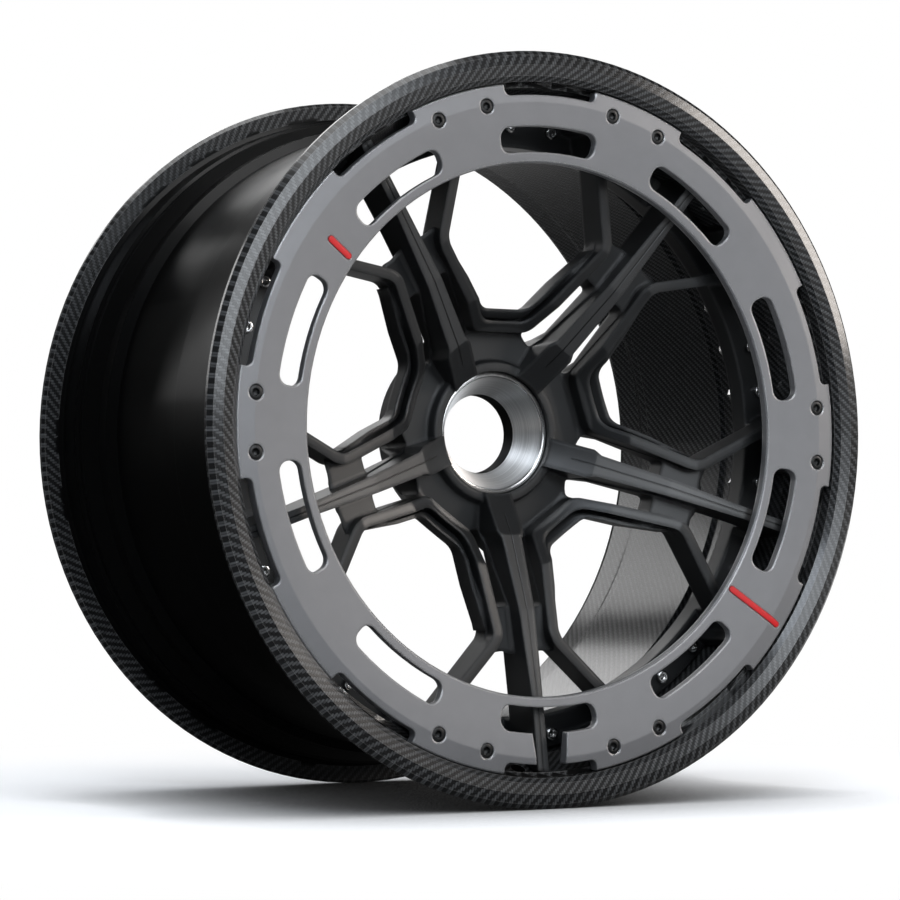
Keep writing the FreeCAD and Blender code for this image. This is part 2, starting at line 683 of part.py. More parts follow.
# Turned insert for the central nut: a rounded rim, a long cone and a plain bore.
hub_insert = turned_body("hub_insert", [
    ("dims.insert_bore", "-dims.cone_foot_ahead"),
    ("dims.insert_radius - dims.insert_rim", "-(dims.insert_ahead - dims.insert_bevel)"),
    ("dims.insert_radius - dims.insert_rim + dims.insert_bevel", "-dims.insert_ahead"),
    ("dims.insert_radius - dims.insert_edge", "-dims.insert_ahead"),
    ("dims.insert_radius", "-(dims.insert_ahead - dims.insert_edge)"),
    ("dims.insert_radius", "-dims.insert_seat_ahead"),
    ("dims.insert_body - dims.seat_gap", "-dims.insert_seat_ahead"),
    ("dims.insert_body - dims.seat_gap", "-dims.insert_back_ahead"),
    ("dims.insert_bore", "-dims.insert_back_ahead"),
])

PAST_FACE = "dims.ring_crown_ahead + dims.cut_run"

# Face ring: a shallow cone with a flatter rim, pierced by slots and notched round its edge.
FACE_LINE = [("dims.ring_inner", "dims.ring_inner_ahead"), ("dims.ring_crease", "dims.ring_crease_ahead"),
             ("dims.ring_crown", "dims.ring_crown_ahead"), ("dims.ring_outer", "dims.ring_edge_ahead")]
ring_blank = revolved("ring_blank", [
    ("dims.ring_inner", "-(dims.ring_inner_ahead - dims.ring_chamfer)"),
    ("dims.ring_inner + dims.ring_chamfer", "-dims.ring_inner_ahead"),
    ("dims.ring_crease", "-dims.ring_crease_ahead"),
    ("dims.ring_crown", "-dims.ring_crown_ahead"),
    ("dims.ring_outer - dims.ring_chamfer", "-dims.ring_edge_ahead"),
    ("dims.ring_outer", "-(dims.ring_edge_ahead - dims.ring_chamfer)"),
    ("dims.ring_outer", "-dims.ring_back_ahead"),
    ("dims.slot_outer", "-dims.ring_back_ahead"),
    ("dims.ring_inner", "-(dims.ring_inner_ahead - dims.ring_thick)"),
])
slot_loops, notch_loops = [], []
for angle in SLOT_ANGLES:
    inner, outer = size("slot_inner"), size("slot_outer")
    slot_loops.append(arc_slot(inner, outer, size("slot_half_angle"), size("slot_corner"), angle))
    inner, outer = size("notch_inner"), size("lip_radius")
    notch_loops.append(arc_slot(inner, outer, size("notch_half_angle"), size("notch_corner"), angle))
channel_corners = [(size("slot_outer") - size("slot_corner"), size("channel_half")),
                   (size("notch_inner") + size("channel_lap"), size("channel_end_half"))]
channel_corners += [(u, -v) for u, v in reversed(channel_corners)]
channel_loop = outline([turned(u, v, CHANNEL_ANGLE) for u, v in channel_corners])
ring_slots = extruded("ring_slots", slot_loops, "0", PAST_FACE)
ring_notches = extruded("ring_notches", notch_loops, "0", PAST_FACE)
ring_channel = extruded("ring_channel", [channel_loop], "0", PAST_FACE)
head_loops = circles(size("screw_head_radius") + size("hole_gap"), size("screw_circle"), SCREW_ANGLES)
head_seats = extruded("head_seats", head_loops, HEAD_SEAT, PAST_FACE)
ring_holes = extruded("ring_holes", screw_hole_loops, "0", PAST_FACE)
KEYS = {"short_key": SHORT_KEY_ANGLE, "long_key": LONG_KEY_ANGLE}
gap = size("seat_gap")
key_seats, key_plans = [], {}
for name, angle in KEYS.items():
    start, end = size(name + "_start"), size(name + "_end")
    key_seats.append(capsule(start - gap, end + gap, size("key_half") + gap, angle))
    key_plans[name] = capsule(start, end, size("key_half"), angle)
key_pockets = extruded("key_pockets", key_seats, "dims.key_floor_ahead", PAST_FACE)
ring_cuts = fused("ring_cuts", [ring_slots, ring_notches, ring_channel, head_seats, ring_holes, key_pockets])
face_ring = cut("face_ring", ring_blank, ring_cuts)

# Red keys that lie in the ring and stand a little proud of its face.
keys = []
for name in KEYS:
    crown_points = [(r, f"-({y} + dims.key_proud)") for r, y in FACE_LINE]
    crown_points += [(r, "-dims.ring_back_ahead") for r in ("dims.ring_outer", "dims.ring_inner")]
    crown = revolved(name + "_crown", crown_points)
    blank = extruded(name + "_blank", [key_plans[name]], "dims.key_floor_ahead", "dims.lip_radius")
    keys.append(common(name, blank, crown))

# Fasteners: face screws in pairs, and the bolts and nuts that clamp the centre's hoop to the barrel's flange.
screw_heads = extruded("screw_heads", circles(size("screw_head_radius"), size("screw_circle"), SCREW_ANGLES),
                       HEAD_SEAT, f"{HEAD_SEAT} + dims.screw_head_height")
screw_shanks = extruded("screw_shanks", circles(size("screw_radius"), size("screw_circle"), SCREW_ANGLES),
                        SCREW_END, f"{HEAD_SEAT} + dims.lap")
ring_screws = fused("ring_screws", [screw_heads, screw_shanks])
NUT_END = f"{HOOP_BACK} - dims.flange_thick - dims.nut_height"
bolt_heads = extruded("bolt_heads", circles(size("bolt_head_radius"), size("bolt_circle"), BOLT_ANGLES),
                      "dims.hoop_ahead", "dims.hoop_ahead + dims.bolt_head_height")
bolt_shanks = extruded("bolt_shanks", circles(size("bolt_radius"), size("bolt_circle"), BOLT_ANGLES),
                       f"{NUT_END} - dims.bolt_end", "dims.hoop_ahead + dims.lap")
flange_bolts = fused("flange_bolts", [bolt_heads, bolt_shanks])
nut_loops = circles(size("bolt_radius") + gap, size("bolt_circle"), BOLT_ANGLES)
for angle in BOLT_ANGLES:
    centre = turned(size("bolt_circle"), 0, angle)
    corner = size("nut_flat_half") / math.cos(math.radians(30))
    nut_loops.append(outline([centre + turned(corner, 0, angle + 60 * k) for k in range(6)]))
flange_nuts = extruded("flange_nuts", nut_loops, NUT_END, f"{HOOP_BACK} - dims.flange_thick")

doc.recompute()
nodes = [barrel, spoke_centre, face_ring, hub_insert, ring_screws, flange_bolts, flange_nuts] + keys
for item in doc.Objects:
    if "Invalid" in item.State or "Error" in item.State:
        raise RuntimeError(f"{item.Name} did not build")
os.makedirs("parts", exist_ok=True)
for node in nodes:
    node.Label = node.Name
    if node.Shape.isNull() or not node.Shape.isValid() or not node.Shape.Solids:
        raise RuntimeError(f"{node.Name} has no sound shape")
for node in nodes:
    box = node.Shape.BoundBox
    print(f"{node.Label}: {len(node.Shape.Solids)} solids, {node.Shape.Volume / 1000:.1f} cm3, "
          f"Y {box.YMin:.2f} to {box.YMax:.2f}, radius {max(box.XMax, box.ZMax):.2f}")
    node.Shape.exportStep(f"parts/{node.Label}.step")
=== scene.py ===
"""Finishes, fastener detail, studio and camera of a built-up centre-lock wheel."""
import logging
import math
from dataclasses import dataclass
from enum import Enum

import bmesh
import bpy
from mathutils import Matrix, Vector


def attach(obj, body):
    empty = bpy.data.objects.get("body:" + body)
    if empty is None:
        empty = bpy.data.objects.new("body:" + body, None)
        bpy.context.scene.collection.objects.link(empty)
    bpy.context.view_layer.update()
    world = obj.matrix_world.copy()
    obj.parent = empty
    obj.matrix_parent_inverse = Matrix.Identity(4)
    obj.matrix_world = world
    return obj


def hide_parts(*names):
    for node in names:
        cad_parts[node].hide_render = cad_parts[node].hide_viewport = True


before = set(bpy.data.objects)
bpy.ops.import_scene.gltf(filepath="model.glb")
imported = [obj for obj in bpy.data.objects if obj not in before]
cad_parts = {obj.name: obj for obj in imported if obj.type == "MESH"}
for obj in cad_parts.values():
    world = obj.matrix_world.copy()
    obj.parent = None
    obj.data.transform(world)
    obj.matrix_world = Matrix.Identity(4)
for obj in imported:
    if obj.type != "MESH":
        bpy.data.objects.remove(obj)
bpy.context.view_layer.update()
LOG = logging.getLogger("wheel")
MM = 0.001
Colour = tuple[float, float, float, float]
Point = tuple[float, float, float]
Light = tuple[float, float, float]
Materials = dict[str, bpy.types.Material]


def grey(level: float, warmth: float = 0.0) -> Colour:
    """A near-neutral colour.

    Args:
        level: linear brightness.
        warmth: share by which red rises and blue falls.

    Returns:
        The colour with full alpha.
    """
    return (level * (1 + warmth), level, level * (1 - warmth), 1.0)


def toned(colour: Colour, share: float) -> Colour:
    """A colour made darker or lighter.

    Args:
        colour: the colour to start from.
        share: factor on its brightness.

    Returns:
        The new colour with full alpha.
    """
    red, green, blue, _ = colour
    return (red * share, green * share, blue * share, 1.0)


class MixKind(Enum):
    """Kinds of Mix node: data type, places of the two inputs, place of the result."""

    VALUE = ("FLOAT", 2, 3, 0)
    COLOUR = ("RGBA", 6, 7, 2)


class Graph:
    """Adds nodes to one shader tree and wires them together."""

    def __init__(self, tree: bpy.types.NodeTree) -> None:
        """Keeps the tree that the nodes go into."""
        self.tree = tree

    def node(self, kind: str, **settings: object) -> bpy.types.Node:
        """Adds a node.

        Args:
            kind: node type without its "ShaderNode" prefix.
            settings: properties to set on it.

        Returns:
            The new node.
        """
        made = self.tree.nodes.new("ShaderNode" + kind)
        for name, value in settings.items():
            setattr(made, name, value)
        return made

    def feed(self, target: bpy.types.NodeSocket, value: object) -> None:
        """Links a socket to another one, or sets its constant.

        Args:
            target: the input socket.
            value: an output socket or a plain value.
        """
        if isinstance(value, bpy.types.NodeSocket):
            self.tree.links.new(value, target)
        else:
            target.default_value = value

    def math(self, operation: str, *values: object) -> bpy.types.NodeSocket:
        """Adds a Math node.

        Args:
            operation: the node's operation.
            values: its inputs in order.

        Returns:
            The result socket.
        """
        made = self.node("Math", operation=operation)
        for target, value in zip(made.inputs, values):
            self.feed(target, value)
        return made.outputs[0]

    def product(self, *values: object) -> bpy.types.NodeSocket:
        """Multiplies values.

        Args:
            values: two or more values.

        Returns:
            Their product.
        """
        result = values[0]
        for value in values[1:]:
            result = self.math("MULTIPLY", result, value)
        return result

    def span(
        self, value: object, low: float, high: float, start: float = 0.0, end: float = 1.0
    ) -> bpy.types.NodeSocket:
        """Turns a range of values smoothly into another one.

        Args:
            value: the value to map.
            low: value at the start.
            high: value at the end.
            start: result at low.
            end: result at high.

        Returns:
            The mapped value.
        """
        made = self.node("MapRange", interpolation_type="SMOOTHSTEP")
        for target, given in zip(made.inputs, (value, low, high, start, end)):
            self.feed(target, given)
        return made.outputs[0]

    def mix(self, kind: MixKind, factor: object, low: object, high: object) -> bpy.types.NodeSocket:
        """Adds a Mix node.

        Args:
            kind: what it mixes.
            factor: share of the second input.
            low: first input.
            high: second input.

        Returns:
            The mixed value or colour.
        """
        data_type, first, second, result = kind.value
        made = self.node("Mix", data_type=data_type)
        for place, value in ((0, factor), (first, low), (second, high)):
            self.feed(made.inputs[place], value)
        return made.outputs[result]

    def blend(self, factor: object, low: object, high: object) -> bpy.types.NodeSocket:
        """Mixes two colours."""
        return self.mix(MixKind.COLOUR, factor, low, high)

    def split(self, vector: object) -> bpy.types.NodeOutputs:
        """Takes a vector apart.

        Args:
            vector: the vector.

        Returns:
            Its three parts.
        """
        made = self.node("SeparateXYZ")
        self.feed(made.inputs[0], vector)
        return made.outputs

    def join(self, first: object, second: object) -> bpy.types.NodeSocket:
        """Makes a vector whose third part is nought.

        Args:
            first: its first part.
            second: its second part.

        Returns:
            The vector.
        """
        made = self.node("CombineXYZ")
        self.feed(made.inputs[0], first)
        self.feed(made.inputs[1], second)
        return made.outputs[0]

    def vectors(self, operation: str, *values: object) -> bpy.types.Node:
        """Adds a Vector Math node.

        Args:
            operation: the node's operation.
            values: its inputs in order.

        Returns:
            The node.
        """
        made = self.node("VectorMath", operation=operation)
        for target, value in zip(made.inputs, values):
            self.feed(target, value)
        return made

    def noise(self, vector: object, scale: object, detail: float) -> bpy.types.NodeSocket:
        """Adds a noise texture.

        Args:
            vector: where to look it up.
            scale: grains per unit of that vector.
            detail: octaves.

        Returns:
            The noise value, about 0 to 1.
        """
        made = self.node("TexNoise")
        self.feed(made.inputs["Vector"], vector)
        self.feed(made.inputs["Scale"], scale)
        self.feed(made.inputs["Detail"], detail)
        return made.outputs[0]

    def bump(
        self, height: object, strength: float, depth: float, normal: object = None
    ) -> bpy.types.NodeSocket:
        """Adds a Bump node.

        Args:
            height: height map.
            strength: share of the bump that shows.
            depth: height of one unit, in metres.
            normal: normal to start from.

        Returns:
            The bumped normal.
        """
        made = self.node("Bump")
        self.feed(made.inputs["Height"], height)
        self.feed(made.inputs["Strength"], strength)
        self.feed(made.inputs["Distance"], depth)
        if normal is not None:
            self.feed(made.inputs["Normal"], normal)
        return made.outputs[0]

    def place(self) -> bpy.types.NodeSocket:
        """The point of the surface in the wheel's own frame."""
        return self.node("TexCoord").outputs["Object"]

    def normal(self, name: str = "Normal") -> bpy.types.NodeSocket:
        """The surface's normal: the shaded one, or the face's own under the name True Normal."""
        return self.node("NewGeometry").outputs[name]


class Effect(Enum):
    """Shared effects, each one node group."""

    ROUNDED = "rounded_edges"
    GRAIN = "fine_grain"
    POLAR = "wheel_polar"
    TURNED = "turned_lines"
    TWILL = "twill_weave"
    RIB = "rib_lines"
    HANDLING = "handling_marks"


class Effects:
    """Builds the shared node groups once and places them in materials."""

    TWILL_REPEAT = 4.0

    def __init__(self) -> None:
        """Builds every group."""
        self.groups = {
            Effect.ROUNDED: self._rounded(),
            Effect.GRAIN: self._grain(),
            Effect.POLAR: self._polar(),
            Effect.TURNED: self._turned(),
            Effect.TWILL: self._twill(),
            Effect.RIB: self._rib(),
            Effect.HANDLING: self._handling(),
        }

    def use(self, graph: Graph, effect: Effect, **inputs: object) -> bpy.types.Node:
        """Places a group in a material.

        Args:
            graph: the material's graph.
            effect: which group.
            inputs: its inputs by name.

        Returns:
            The group node.
        """
        made = graph.node("Group", node_tree=self.groups[effect])
        for name, value in inputs.items():
            graph.feed(made.inputs[name], value)
        return made

    @staticmethod
    def _open(effect: Effect, inputs: dict[str, str], outputs: dict[str, str]) -> tuple:
        """Starts a group.

        Args:
            effect: the effect it holds.
            inputs: socket kind of each input.
            outputs: socket kind of each output.

        Returns:
            Its graph, its input sockets and its output sockets.
        """
        tree = bpy.data.node_groups.new(effect.value, "ShaderNodeTree")
        for in_out, sockets in (("INPUT", inputs), ("OUTPUT", outputs)):
            for name, kind in sockets.items():
                tree.interface.new_socket(name, in_out=in_out, socket_type="NodeSocket" + kind)
        start = tree.nodes.new("NodeGroupInput")
        end = tree.nodes.new("NodeGroupOutput")
        return Graph(tree), start.outputs, end.inputs

    def _rounded(self) -> bpy.types.NodeTree:
        """Rounded edges.

        Returns:
            A group that gives a softened normal and a mask of the edges.
        """
        graph, given, out = self._open(
            Effect.ROUNDED, {"Radius": "Float"}, {"Normal": "Vector", "Edge": "Float"})
        edge_start, edge_full = 0.01, 0.16
        soft = graph.node("Bevel", samples=3)
        graph.feed(soft.inputs["Radius"], given["Radius"])
        same = graph.vectors("DOT_PRODUCT", soft.outputs[0], graph.normal()).outputs["Value"]
        graph.feed(out["Normal"], soft.outputs[0])
        graph.feed(out["Edge"], graph.span(graph.math("SUBTRACT", 1.0, same), edge_start, edge_full))
        return graph.tree

    def _grain(self) -> bpy.types.NodeTree:
        """Fine blasted grain.

        Returns:
            A group that gives the tone of wide patches and the height of the grain.
        """
        graph, given, out = self._open(
            Effect.GRAIN, {"Vector": "Vector", "Scale": "Float"}, {"Tone": "Float", "Height": "Float"})
        octaves, patch_share = 3.0, 0.02
        graph.feed(out["Height"], graph.noise(given["Vector"], given["Scale"], octaves))
        patch_scale = graph.product(given["Scale"], patch_share)
        graph.feed(out["Tone"], graph.noise(given["Vector"], patch_scale, octaves))
        return graph.tree

    def _polar(self) -> bpy.types.NodeTree:
        """Place on the wheel.

        Returns:
            A group that gives the distance from the spin axis, the angle round it in turns and the
            distance ahead of the mid-plane.
        """
        graph, given, out = self._open(
            Effect.POLAR, {"Vector": "Vector"}, {"Radius": "Float", "Turn": "Float", "Ahead": "Float"})
        across, along, up = graph.split(given["Vector"])
        square = graph.math("ADD", graph.product(across, across), graph.product(up, up))
        graph.feed(out["Radius"], graph.math("SQRT", square))
        angle = graph.math("ARCTAN2", up, across)
        turns_per_radian, whole_turn = 0.5 / math.pi, 1.0
        graph.feed(out["Turn"], graph.math("MULTIPLY_ADD", angle, turns_per_radian, whole_turn))
        graph.feed(out["Ahead"], graph.product(along, -1.0))
        return graph.tree

    def _turned(self) -> bpy.types.NodeTree:
        """Fine rings left by a lathe.

        Returns:
            A group that gives their tone and height.
        """
        graph, given, out = self._open(
            Effect.TURNED, {"Radius": "Float", "Ahead": "Float", "Turn": "Float", "Rings": "Float"},
            {"Tone": "Float", "Height": "Float"})
        drift, octaves = 1.5, 4.0
        dark_below, light_above = 0.35, 0.65
        path = graph.math("SUBTRACT", given["Radius"], given["Ahead"])
        spot = graph.join(graph.product(path, given["Rings"]), graph.product(given["Turn"], drift))
        fine = graph.noise(spot, 1.0, octaves)
        graph.feed(out["Height"], fine)
        graph.feed(out["Tone"], graph.span(fine, dark_below, light_above))
        return graph.tree

    def _twill(self) -> bpy.types.NodeTree:
        """Two-by-two twill of carbon tows.

        Returns:
            A group that gives a mask of the lengthwise tows, their tone and their height.
        """
        graph, given, out = self._open(
            Effect.TWILL, {"Around": "Float", "Across": "Float"},
            {"Warp": "Float", "Tone": "Float", "Height": "Float"})
        over_two, tone_step, tone_scale, tone_octaves = 1.5, 0.37, 1.7, 1.0
        column = graph.math("FLOOR", given["Around"])
        row = graph.math("FLOOR", given["Across"])
        step = graph.math("FLOORED_MODULO", graph.math("ADD", column, row), self.TWILL_REPEAT)
        warp = graph.math("LESS_THAN", step, over_two)
        over = self._tow(graph, given["Around"], given["Across"], column, 0.0)
        under = self._tow(graph, given["Across"], given["Around"], row, self.TWILL_REPEAT / 2)
        strand = graph.join(graph.product(column, tone_step), graph.product(row, tone_step))
        graph.feed(out["Warp"], warp)
        graph.feed(out["Height"], graph.mix(MixKind.VALUE, warp, under, over))
        graph.feed(out["Tone"], graph.noise(strand, tone_scale, tone_octaves))
        return graph.tree

    def _tow(
        self, graph: Graph, place: object, lengthwise: object, other: object, start: float
    ) -> bpy.types.NodeSocket:
        """Height of a tow that dips under its neighbours at both ends.

        Args:
            graph: the twill's graph.
            place: place across the tow, in tows.
            lengthwise: place along it, in tows.
            other: number of the tow.
            start: where in the repeat it comes up.

        Returns:
            The height, 0 to 1.
        """
        roundness, dip_share = 0.6, 0.5
        width = graph.math("SINE", graph.product(graph.math("FRACT", place), math.pi))
        run = graph.math("FLOORED_MODULO", graph.math("ADD", lengthwise, other), self.TWILL_REPEAT)
        run = graph.product(graph.math("SUBTRACT", run, start), math.pi / 2)
        dip = graph.math("MAXIMUM", graph.math("SINE", run), 0.0)
        crown = graph.math("POWER", graph.math("MAXIMUM", width, 0.0), roundness)
        return graph.product(crown, graph.math("MULTIPLY_ADD", dip, dip_share, 1.0 - dip_share))

    def _rib(self) -> bpy.types.NodeTree:
        """Place on the nearest of the five ribs.

        Returns:
            A group that gives the distances along the rib and beside its middle.
        """
        graph, given, out = self._open(
            Effect.RIB, {"Radius": "Float", "Turn": "Float"}, {"Along": "Float", "Beside": "Float"})
        ribs, first_rib, half = 5.0, 54.0 / 72.0, 0.5
        fifth = graph.math("SUBTRACT", graph.product(given["Turn"], ribs), first_rib)
        nearest = graph.math("FLOORED_MODULO", graph.math("ADD", fifth, half), 1.0)
        angle = graph.product(graph.math("SUBTRACT", nearest, half), math.tau / ribs)
        graph.feed(out["Along"], graph.product(given["Radius"], graph.math("COSINE", angle)))
        beside = graph.product(given["Radius"], graph.math("SINE", angle))
        graph.feed(out["Beside"], graph.math("ABSOLUTE", beside))
        return graph.tree

    def _handling(self) -> bpy.types.NodeTree:
        """Faint smears and dust of handling.

        Returns:
            A group that gives a mask of them.
        """
        graph, given, out = self._open(
            Effect.HANDLING, {"Vector": "Vector", "Amount": "Float"}, {"Mask": "Float"})
        smear_scale, smear_octaves, smear_start, smear_full = 9.0, 5.0, 0.42, 0.72
        speck_scale, speck_octaves, speck_start, speck_full = 420.0, 1.0, 0.68, 0.78
        speck_share = 0.35
        smear = graph.noise(given["Vector"], smear_scale, smear_octaves)
        speck = graph.noise(given["Vector"], speck_scale, speck_octaves)
        wide = graph.span(smear, smear_start, smear_full)
        fine = graph.span(speck, speck_start, speck_full)
        both = graph.math("MULTIPLY_ADD", fine, speck_share, wide)
        graph.feed(out["Mask"], graph.product(both, given["Amount"]))
        return graph.tree


@dataclass(frozen=True, kw_only=True)
class Finish:
    """A surface finish with the values that are the same all over it."""

    name: str
    slot: str
    colour: Colour
    roughness: float
    metallic: float = 0.0
    coat: float = 0.0
    coat_roughness: float = 0.03
    edge_radius: float = 1.0 * MM

    def start(self) -> tuple[bpy.types.Material, Graph, bpy.types.Node]:
        """Starts the material.

        Returns:
            The material, its graph and its Principled shader.
        """
        material = bpy.data.materials.new(self.name)
        material.use_nodes = True
        graph = Graph(material.node_tree)
        shader = material.node_tree.nodes["Principled BSDF"]
        constants = {"Base Color": self.colour, "Roughness": self.roughness, "Metallic": self.metallic,
                     "Coat Weight": self.coat, "Coat Roughness": self.coat_roughness}
        for name, value in constants.items():
            shader.inputs[name].default_value = value
        return material, graph, shader

    def paint(self, effects: Effects) -> bpy.types.Material:
        """Makes the finished material from the shared node groups."""
        raise NotImplementedError


@dataclass(frozen=True, kw_only=True)
class CarbonFinish(Finish):
    """Clear-coated carbon twill on the lips and inside, glossy black outside between the bead seats."""

    tows_round: int = 940
    tow_width: float = 1.9 * MM
    tow_depth: float = 0.25 * MM
    tow_bump: float = 0.5
    # colour of the painted sheen on the warp tows
    sheen_tow: Colour = grey(0.090, -0.02)
    dark_tow: Colour = grey(0.010)
    # painted shade towards the low edges of each tow
    gap_shade_colour: Colour = grey(0.004)
    gap_low: float = 0.15
    gap_high: float = 0.75
    gap_share: float = 0.25
    # colour and share of a painted highlight on rounded edges
    edge_highlight_colour: Colour = grey(0.22, 0.04)
    edge_highlight_share: float = 0.7
    lip_inside: float = 0.271
    lip_fade: float = 3 * MM
    outside_coat: float = 0.10
    base_gloss: float = 0.1
    smears: float = 0.10

    def paint(self, effects: Effects) -> bpy.types.Material:
        """Makes the material from the twill group, wrapped round the barrel.

        Args:
            effects: the shared node groups.

        Returns:
            The finished material.
        """
        material, graph, shader = self.start()
        place = graph.place()
        radius, turn, ahead = effects.use(graph, Effect.POLAR, Vector=place).outputs
        around = graph.product(turn, self.tows_round)
        across = graph.math("DIVIDE", graph.math("ADD", radius, ahead), self.tow_width)
        twill = effects.use(graph, Effect.TWILL, Around=around, Across=across).outputs
        rounded = effects.use(graph, Effect.ROUNDED, Radius=self.edge_radius).outputs
        lip = graph.span(radius, self.lip_inside, self.lip_inside + self.lip_fade)
        inward = graph.math("SUBTRACT", 1.0, self._outward(graph, place))
        shown = graph.math("MAXIMUM", lip, inward)
        # painted sheen: the warp tows are lighter than the weft, by a random share per tow
        sheen = graph.blend(twill["Tone"], self.dark_tow, self.sheen_tow)
        woven = graph.blend(twill["Warp"], self.dark_tow, sheen)
        # painted shade: each tow darkens towards its low edges, between the tows
        shade = graph.span(twill["Height"], self.gap_low, self.gap_high, self.gap_share, 1.0)
        woven = graph.blend(shade, self.gap_shade_colour, woven)
        # painted highlight: a light line along the rounded edges of the woven surface
        woven = graph.blend(graph.product(rounded["Edge"], self.edge_highlight_share), woven, self.edge_highlight_colour)
        graph.feed(shader.inputs["Base Color"], graph.blend(shown, self.colour, woven))
        height = graph.product(twill["Height"], shown)
        normal = graph.bump(height, self.tow_bump, self.tow_depth, rounded["Normal"])
        graph.feed(shader.inputs["Normal"], normal)
        marks = effects.use(graph, Effect.HANDLING, Vector=place, Amount=self.smears).outputs
        graph.feed(shader.inputs["Roughness"], graph.math("ADD", marks["Mask"], self.roughness))
        coat = graph.math("MULTIPLY_ADD", shown, self.coat - self.outside_coat, self.outside_coat)
        graph.feed(shader.inputs["Coat Weight"], coat)
        shader.inputs["Specular IOR Level"].default_value = self.base_gloss
        return material

    @staticmethod
    def _outward(graph: Graph, place: bpy.types.NodeSocket) -> bpy.types.NodeSocket:
        """Mask of the surface that looks away from the spin axis.

        Args:
            graph: the material's graph.
            place: point of the surface.

        Returns:
            One outside the barrel and nought inside it.
        """
        flat = graph.vectors("MULTIPLY", place, (1.0, 0.0, 1.0)).outputs[0]
        facing = graph.vectors("DOT_PRODUCT", flat, graph.normal()).outputs["Value"]
        return graph.math("GREATER_THAN", facing, 0.0)


@dataclass(frozen=True, kw_only=True)
class ForgedFinish(Finish):
    """Satin charcoal over a forging, with a painted highlight and less roughness on the forward-facing rib
    tops, and a fine centre groove on each rib drawn by painted shade and a bump.
    """

    rib_start: float = 0.056
    rib_half: float = 10 * MM
    rib_top: float = 0.088
    facet_start: float = 0.079
    facet_slope: float = 0.75
    # painted highlight on the forward-facing rib tops beyond facet_start
    facet_highlight_colour: Colour = grey(0.026)
    facet_polish: float = -0.06
    groove_half: float = 0.7 * MM
    groove_floor: float = 0.4
    # painted shade that draws the rib groove together with the bump
    groove_shade_colour: Colour = grey(0.002)
    groove_depth: float = 0.5 * MM
    groove_bump: float = 0.6
    # colour and share of a painted highlight on rounded edges
    edge_highlight_colour: Colour = grey(0.050)
    edge_highlight_share: float = 0.55
    grain_scale: float = 2600.0
    grain_share: float = 0.05
    dark_patch: float = 0.8
    light_patch: float = 1.25
    smears: float = 0.10

    def paint(self, effects: Effects) -> bpy.types.Material:
        """Makes the material from grain, rounded edges and the rib lines.

        Args:
            effects: the shared node groups.

        Returns:
            The finished material.
        """
        material, graph, shader = self.start()
        place = graph.place()
        radius, turn, ahead = effects.use(graph, Effect.POLAR, Vector=place).outputs
        along, beside = effects.use(graph, Effect.RIB, Radius=radius, Turn=turn).outputs
        near = graph.math("LESS_THAN", beside, self.rib_half)
        high = graph.math("GREATER_THAN", ahead, self.rib_top)
        crest = graph.product(self._forward(graph), near, high)
        facet = graph.product(crest, graph.math("GREATER_THAN", along, self.facet_start))
        line = graph.span(beside, self.groove_half * self.groove_floor, self.groove_half, 1.0, 0.0)
        line = graph.product(line, graph.math("GREATER_THAN", along, self.rib_start))
        groove = graph.product(line, crest)
        rounded = effects.use(graph, Effect.ROUNDED, Radius=self.edge_radius).outputs
        grain = effects.use(graph, Effect.GRAIN, Vector=place, Scale=self.grain_scale).outputs
        marks = effects.use(graph, Effect.HANDLING, Vector=place, Amount=self.smears).outputs
        dark, light = toned(self.colour, self.dark_patch), toned(self.colour, self.light_patch)
        body = graph.blend(grain["Tone"], dark, light)
        # painted highlight: the forward-facing rib tops beyond facet_start are lighter
        body = graph.blend(facet, body, self.facet_highlight_colour)
        # painted shade: a dark line down the middle of each rib top, for a groove that the solids do not have
        body = graph.blend(groove, body, self.groove_shade_colour)
        # painted highlight: the rounded edges are lighter, as if they caught the lamps
        edge_highlight = graph.product(rounded["Edge"], self.edge_highlight_share)
        graph.feed(shader.inputs["Base Color"], graph.blend(edge_highlight, body, self.edge_highlight_colour))
        satin = graph.math("MULTIPLY_ADD", facet, self.facet_polish, self.roughness)
        graph.feed(shader.inputs["Roughness"], graph.math("ADD", satin, marks["Mask"]))
        height = graph.math("SUBTRACT", graph.product(grain["Height"], self.grain_share), groove)
        normal = graph.bump(height, self.groove_bump, self.groove_depth, rounded["Normal"])
        graph.feed(shader.inputs["Normal"], normal)
        return material

    def _forward(self, graph: Graph) -> bpy.types.NodeSocket:
        """Mask of the faces that look ahead, out of the wheel's face."""
        _, backward, _ = graph.split(graph.normal("True Normal"))
        return graph.math("LESS_THAN", backward, -self.facet_slope)


